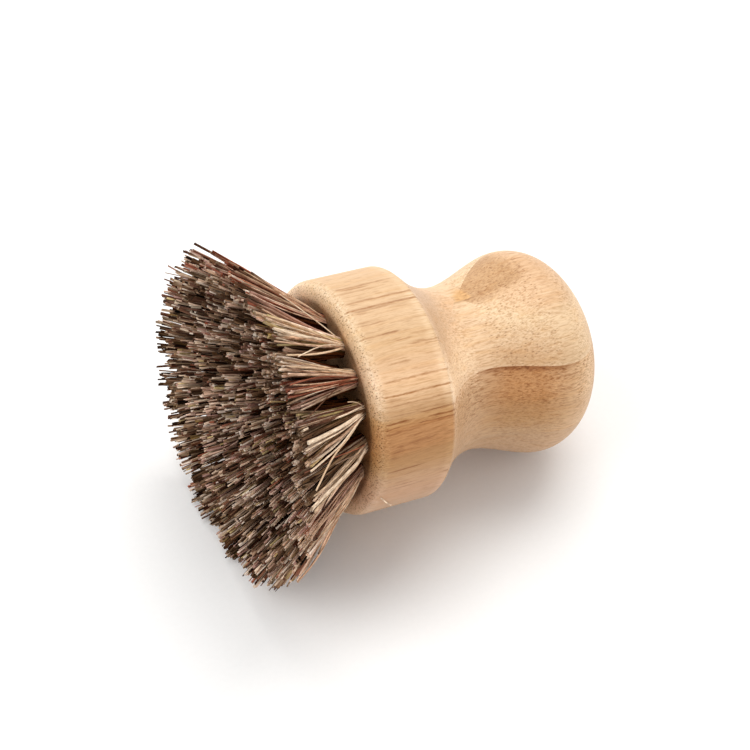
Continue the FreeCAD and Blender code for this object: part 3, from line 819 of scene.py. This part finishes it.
# single fibres that lie on the near tufts, across them, or stand out at the far side:
# points (a, r, phi), width in mm, colour, how dark the tip is
STRAYS = [
    # tuft 4
    ([(-0.2, 20.8, 9.0), (-8.5, 28.0, 8.3), (-16.5, 33.9, 7.2), (-21.4, 36.7, 7.6)], 0.66, CREAM, 0.9),
    ([(-0.2, 20.8, 12.0), (-8.0, 27.7, 12.2), (-14.4, 32.4, 12.0), (-20.8, 36.9, 11.6)], 0.80, CREAM, 0.9),
    ([(-0.2, 20.8, 13.0), (-9.3, 28.6, 13.9), (-16.0, 33.5, 13.6), (-21.4, 36.6, 13.9)], 0.48, CREAM, 1.0),
    ([(-0.2, 20.8, 13.8), (-7.9, 27.7, 17.6), (-11.8, 30.5, 19.4), (-21.1, 37.1, 20.5)], 0.60, CREAM, 1.0),
    ([(-0.2, 20.7, 14.0), (-9.0, 28.0, 16.2), (-16.0, 33.3, 16.4), (-21.5, 35.6, 18.4)], 0.55, TAN, 0.9),
    ([(-0.2, 20.8, 13.4), (-8.0, 27.9, 18.4), (-14.2, 32.7, 21.1), (-20.3, 37.2, 27.0)], 0.40, STRAW, 1.0),
    ([(-0.2, 20.9, 9.0), (-2.2, 23.5, 6.0), (-4.2, 25.3, 4.2), (-6.1, 26.7, 3.4)], 0.22, STRAW, 1.0),
    # tuft 5
    ([(-0.2, 20.8, 33.6), (-4.8, 25.4, 33.5), (-10.5, 29.8, 32.8), (-21.4, 37.2, 33.0)], 0.98, CREAM, 1.0),
    ([(-0.2, 20.8, 35.4), (-4.8, 25.3, 35.4), (-10.5, 29.5, 34.9), (-20.3, 36.4, 35.3)], 0.62, STRAW, 0.9),
    ([(-0.2, 20.8, 31.4), (-7.8, 27.6, 29.6), (-14.2, 32.3, 30.0), (-20.6, 36.8, 29.2)], 0.50, STRAW, 0.9),
    ([(-0.2, 20.7, 32.0), (-4.0, 24.9, 27.0), (-9.2, 29.0, 23.4), (-14.5, 32.8, 20.9)], 0.24, RED, 0.9),
    ([(-0.2, 20.7, 32.6), (-4.0, 24.8, 30.5), (-8.6, 28.3, 26.6), (-13.0, 31.4, 24.6)], 0.24, DRAB, 0.9),
    # tuft 6
    ([(-0.2, 20.7, 53.0), (-7.5, 27.4, 46.9), (-14.0, 32.1, 44.8), (-20.5, 36.5, 44.6)], 0.40, TAN, 0.8),
    ([(-0.2, 20.8, 55.0), (-5.0, 25.5, 53.5), (-11.0, 30.0, 51.6), (-20.8, 36.9, 49.8)], 0.50, STRAW, 0.8),
    ([(-0.2, 20.8, 56.5), (-5.0, 25.5, 57.0), (-11.0, 30.0, 56.0), (-20.8, 36.9, 55.0)], 0.46, CREAM, 0.8),
    # tuft 2
    ([(-0.2, 20.8, -30.0), (-8.5, 28.1, -28.8), (-15.6, 33.3, -30.3), (-21.4, 36.6, -31.6)], 0.52, STRAW, 0.9),
    ([(-0.2, 20.8, -29.0), (-8.0, 27.7, -26.0), (-15.0, 32.8, -25.2), (-20.7, 36.9, -25.8)], 0.58, CREAM, 0.9),
    ([(-0.2, 20.7, -28.0), (-8.0, 27.6, -22.8), (-15.0, 33.0, -21.2), (-21.3, 36.0, -22.2)], 0.50, TAN, 0.9),
    ([(-0.2, 20.8, -28.6), (-4.5, 25.2, -24.6), (-9.0, 28.8, -21.8), (-16.8, 34.0, -16.4)], 0.28, CREAM, 1.0),
    ([(-0.2, 20.6, -27.5), (-6.0, 26.0, -20.8), (-12.3, 30.8, -17.8), (-19.5, 35.2, -17.0)], 0.55, STRAW, 0.9),
    ([(-0.2, 20.8, -32.0), (-3.4, 24.6, -33.2), (-7.8, 27.8, -41.0), (-12.3, 31.1, -48.2)], 0.26, CREAM, 1.0),
    # tuft 3
    ([(-0.2, 20.8, -10.0), (-8.0, 27.7, -11.4), (-15.0, 33.1, -12.0), (-20.8, 35.4, -13.2)], 0.55, STRAW, 0.9),
    ([(-0.2, 20.8, -8.6), (-8.0, 27.7, -9.2), (-15.0, 33.1, -9.4), (-20.8, 35.6, -10.4)], 0.60, TAN, 0.9),
    # tuft 1
    ([(-0.2, 20.8, -54.0), (-6.0, 26.3, -52.0), (-12.0, 30.6, -54.0), (-17.5, 34.6, -58.5)], 0.30, STRAW, 0.9),
    ([(-0.2, 20.8, -53.0), (-6.0, 26.3, -50.2), (-13.6, 31.6, -51.4), (-20.8, 36.6, -54.0)], 0.42, TAN, 0.7),
    # far side
    ([(-0.2, 20.6, -77.0), (-6.0, 25.8, -78.5), (-14.0, 32.6, -81.0), (-21.3, 38.7, -83.2)], 0.55, BROWN, 0.4),
    ([(-0.2, 20.4, -79.0), (-6.0, 25.6, -82.5), (-14.0, 32.2, -88.0), (-21.8, 37.9, -92.3)], 0.50, BROWN, 0.4),
    ([(-0.2, 20.4, -79.5), (-6.0, 25.2, -82.0), (-14.0, 31.6, -86.0), (-21.2, 36.8, -90.5)], 0.46, STRAW, 0.4),
    ([(-0.2, 20.4, -78.5), (-6.0, 25.3, -80.0), (-14.0, 31.8, -84.0), (-21.6, 37.6, -87.0)], 0.60, BROWN, 0.3),
    ([(-0.2, 20.4, -98.0), (-6.0, 25.4, -102.0), (-14.0, 32.2, -108.0), (-22.0, 38.2, -112.5)], 0.24, DRAB, 0.7),
]
strays = Bundle()
for k, (way, width, tone, end) in enumerate(STRAYS):
    rng = random.Random(900 + k)
    pts = [at(*w_) for w_ in way]
    path = [pts[0] + AXIS * (2.5 * MM) - (pts[1] - pts[0]).normalized() * (1.0 * MM)]
    for i in range(3):
        m0 = (pts[i + 1] - pts[max(i - 1, 0)]) * (0.5 if i else 1.0)
        m1 = (pts[min(i + 2, 3)] - pts[i]) * (0.5 if i < 2 else 1.0)
        for j in range(4):
            path.append(hermite(pts[i], pts[i + 1], m0, m1, j / 4.0))
    path.append(pts[3])
    strays.fibre(path, width * MM, 0.62 if width > 0.45 else 0.85, rng.uniform(0, 6.0), 0.5, rng,
                 tone, [c * end for c in tone], 0.8, 11.0 * k)
# a pale splinter stuck to the collar
rng = random.Random(950)
strays.fibre([at(*w_) for w_ in ((2.3, 26.04, 61.4), (3.7, 26.12, 65.4), (4.9, 26.14, 69.2),
                                 (6.2, 26.12, 73.3), (7.4, 26.05, 77.4))],
             0.46 * MM, 0.6, 0.4, 0.2, rng, CREAM, CREAM, 0.8, 7.0)
strays.make("bristles_strays", [])


# ------------------------------------------------------------------ camera at the photo's angle
cam_theta, cam_turn = 0.44343035, 0.24456443
focal_px = 2054.371
p0 = Vector((-11.657414, 5.545725, 442.967647)) * MM     # face centre seen by the camera
d_cam = Vector((math.cos(cam_theta) * math.cos(cam_turn),
                -math.cos(cam_theta) * math.sin(cam_turn), math.sin(cam_theta)))
c_cam = Vector((0.41473804, -0.11000284, -0.90326725))
n_cam = Vector((0.24475452, 0.96956834, -0.00569738))
pairs = ((AXIS, d_cam), (radial(0.0), c_cam), (radial(90.0), n_cam))


def from_camera(v):
    """a direction given in the camera's frame (x right, y down, z away) in the row's frame"""
    out = Vector((0.0, 0.0, 0.0))
    for world, cam in pairs:
        out += world * cam.dot(v)
    return out


right = from_camera(Vector((1, 0, 0))).normalized()
up = from_camera(Vector((0, -1, 0))).normalized()
back = from_camera(Vector((0, 0, -1))).normalized()
cam_data = bpy.data.cameras.new("camera")
cam_data.sensor_width = 36.0
cam_data.lens = 36.0 * focal_px / 750.0
cam_data.clip_start, cam_data.clip_end = 0.01, 20.0
camera = bpy.data.objects.new("camera", cam_data)
bpy.context.scene.collection.objects.link(camera)
m = Matrix((right, up, back)).transposed().to_4x4()
m.translation = FACE - from_camera(p0)
camera.matrix_world = m
bpy.context.scene.camera = camera

# ------------------------------------------------------------------ floor and light
me = bpy.data.meshes.new("floor")
S = 3.0
me.from_pydata([(-S, -S, 0), (S, -S, 0), (S, S, 0), (-S, S, 0)], [], [(0, 1, 2, 3)])
floor = bpy.data.objects.new("floor", me)
bpy.context.scene.collection.objects.link(floor)
ft = Tree("floor paper")
fn = ft.noise(ft.node("ShaderNodeTexCoord").outputs["Object"], 900.0, 2.0)
ft.put(ft.bsdf.inputs["Base Color"], ft.mix(fn, (0.90, 0.90, 0.90), (0.93, 0.93, 0.93)))
ft.bsdf.inputs["Roughness"].default_value = 0.9
ft.bsdf.inputs["Specular IOR Level"].default_value = 0.1
me.materials.append(ft.mat)

world = bpy.data.worlds.new("studio")
world.use_nodes = True
bg = world.node_tree.nodes["Background"]
bg.inputs["Color"].default_value = (1.0, 1.0, 1.0, 1.0)
bg.inputs["Strength"].default_value = 0.70
bpy.context.scene.world = world


def softbox(name, where, target, size, watts, color=(1, 1, 1)):
    light = bpy.data.lights.new(name, "AREA")
    light.shape = "RECTANGLE"
    light.size, light.size_y = size
    light.energy = watts
    light.color = color
    o = bpy.data.objects.new(name, light)
    o.location = where
    o.rotation_mode = "QUATERNION"
    o.rotation_quaternion = (Vector(target) - Vector(where)).to_track_quat("-Z", "Y")
    bpy.context.scene.collection.objects.link(o)
    return o


softbox("key above", (0.45, 0.45, 1.05), (0, 0, 0.03), (0.95, 0.95), 9.8, (1.0, 0.98, 0.95))
softbox("fill left", (-0.80, 0.20, 0.80), (0, 0, 0.03), (0.9, 0.9), 5.5, (1.0, 0.985, 0.96))

scene = bpy.context.scene
scene.view_settings.view_transform = "Standard"
scene.view_settings.look = "None"
scene.view_settings.exposure = 0.0
scene.view_settings.gamma = 1.0
